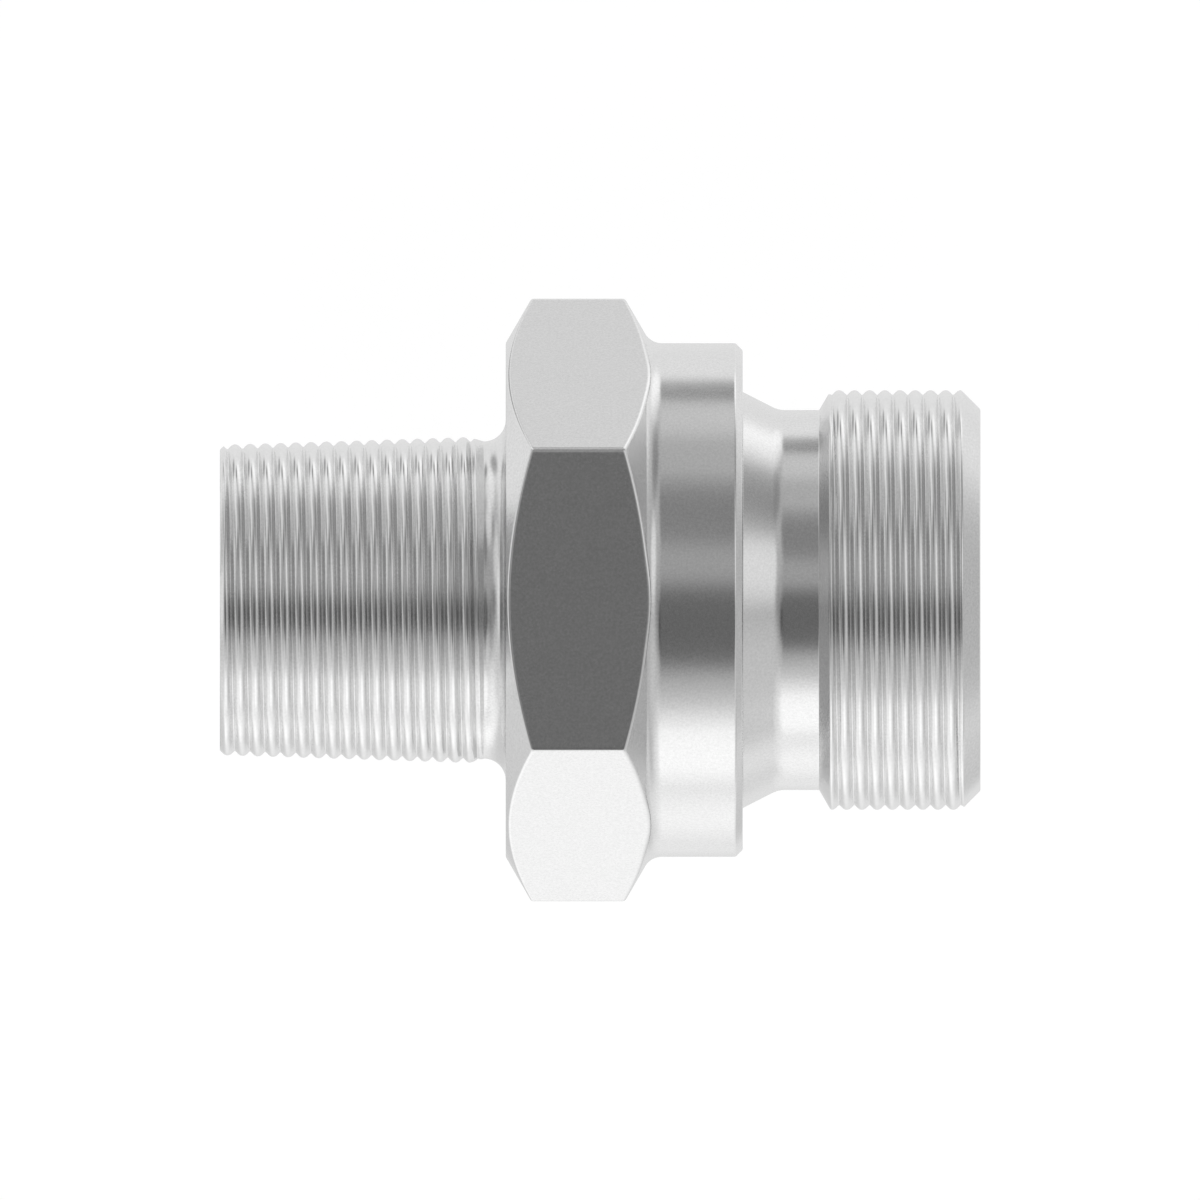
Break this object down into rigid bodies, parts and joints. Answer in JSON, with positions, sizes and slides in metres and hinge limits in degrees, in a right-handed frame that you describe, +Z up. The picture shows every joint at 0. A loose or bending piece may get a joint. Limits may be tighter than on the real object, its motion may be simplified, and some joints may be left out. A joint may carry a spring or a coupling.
{
  "type": "straight adapter fitting",
  "caption": "Straight steel pipe adapter: taper thread on one end, hexagon and round collar in the middle, necked parallel thread on the other, with a stepped through bore.",
  "frame": {"origin": "on the bore's axis, in the plane of the hexagon's end face next to the taper thread", "axes": "+X along the axis towards the parallel thread, +Z up through the middle of one hexagon flat, +Y towards a hexagon corner"},
  "size_m": [0.1155, 0.0916, 0.0794],
  "materials": {
    "plated_steel": "satin bright plating with faint turning marks"
  },
  "bodies": {
    "root": {"adapter_body": "plated_steel"}
  },
  "joints": []
}
